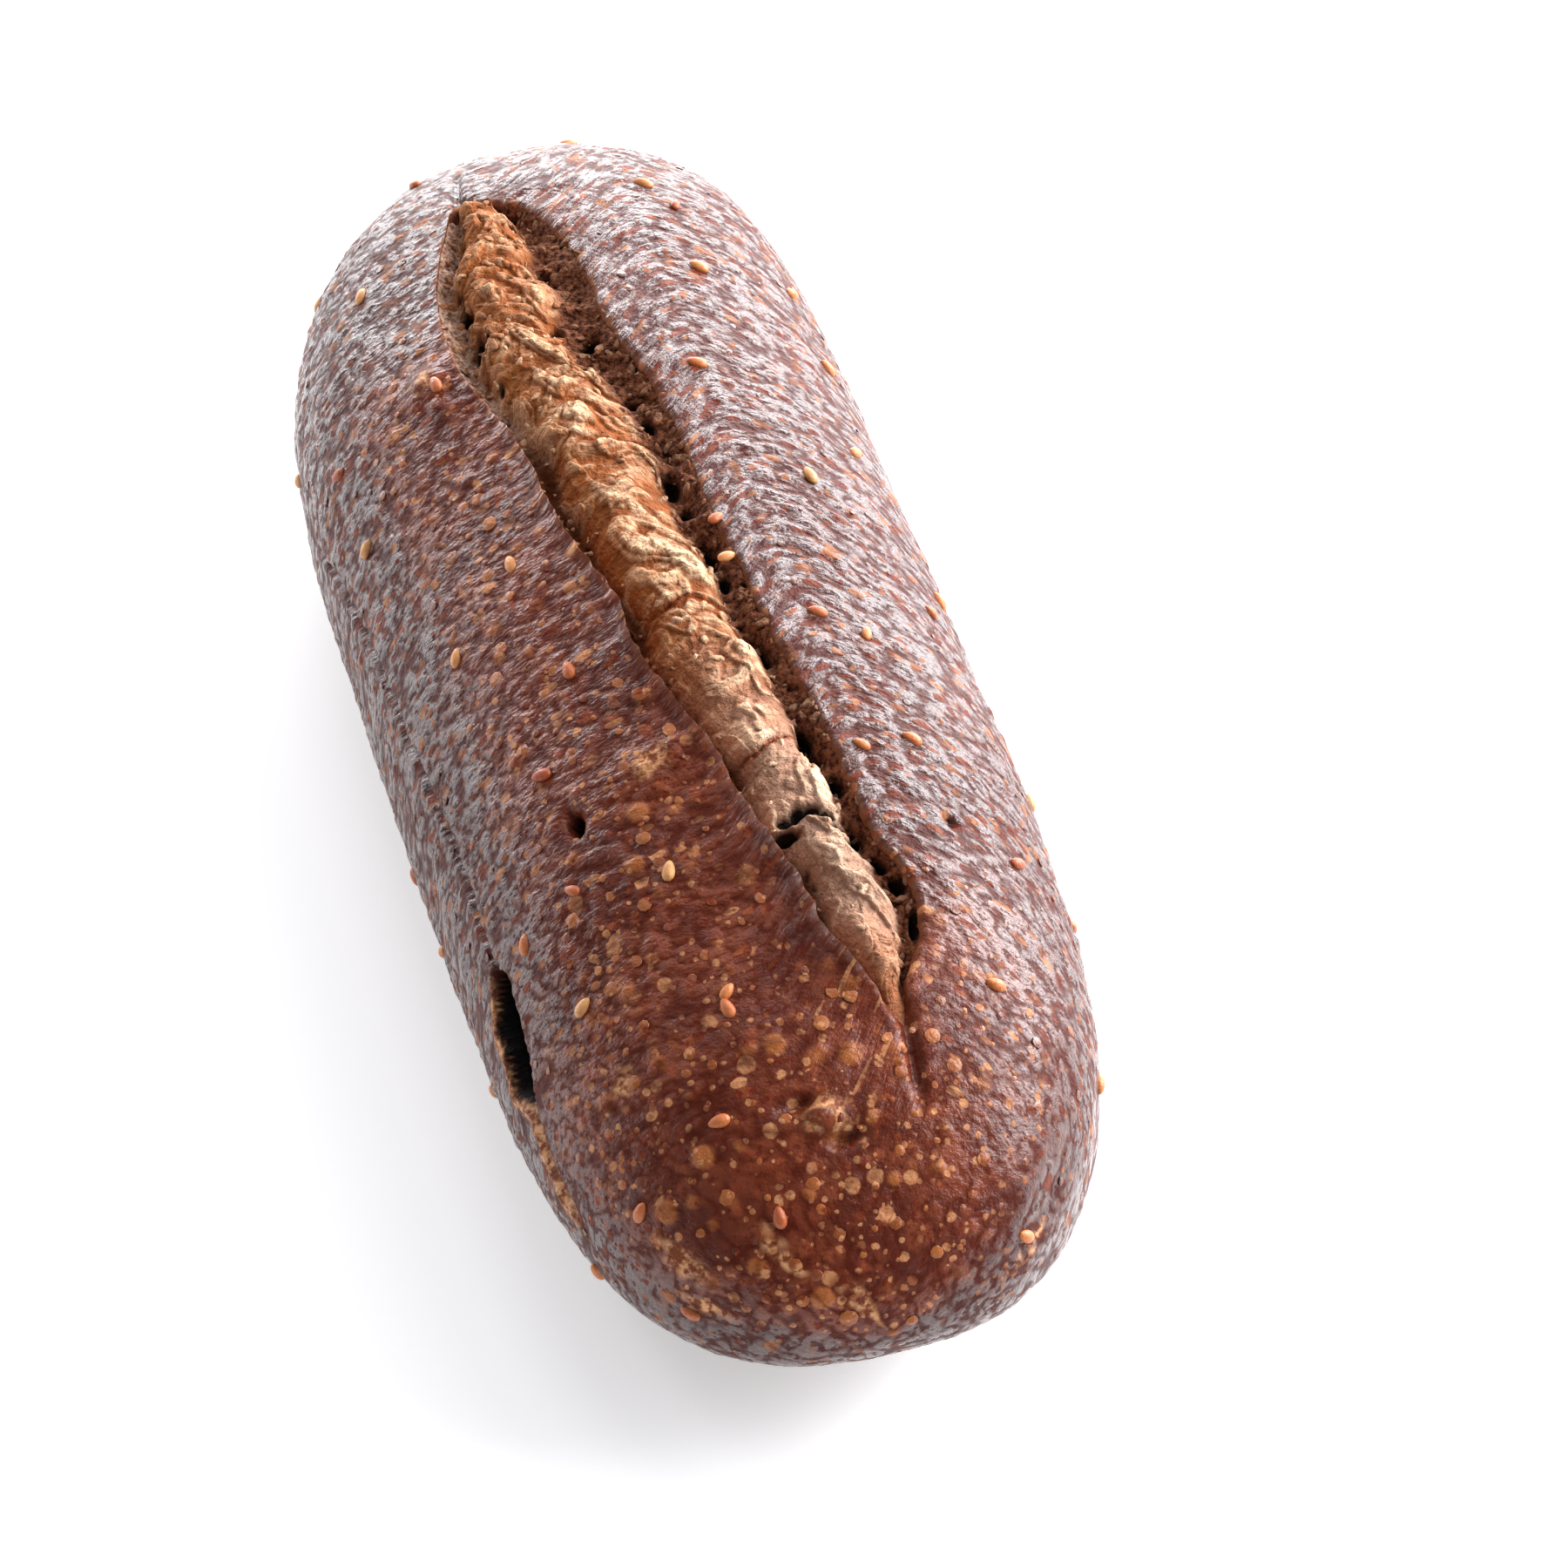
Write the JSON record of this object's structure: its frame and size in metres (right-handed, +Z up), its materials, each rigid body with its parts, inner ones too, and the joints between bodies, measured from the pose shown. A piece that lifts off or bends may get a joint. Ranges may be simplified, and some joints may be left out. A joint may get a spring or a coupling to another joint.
{
  "type": "bread loaf",
  "caption": "Whole dark seeded hearth loaf, long with rounded ends and a flat base, with one lengthwise slash that has burst open over a golden crumb ridge.",
  "frame": {"origin": "under the middle of the loaf's box, on the surface that it rests on", "axes": "+Z up; the loaf's length lies along Y, with its darker domed near end at -Y; +X across the loaf, to the right when seen from the near end"},
  "size_m": [0.0978, 0.262, 0.0798],
  "materials": {
    "crust": "dark reddish-brown baked crust with a satin sheen, blistered and speckled",
    "crumb": "matt golden-tan torn crumb",
    "seeds": "toasted seeds, satin"
  },
  "bodies": {
    "root": {"loaf": "crust"}
  },
  "joints": []
}
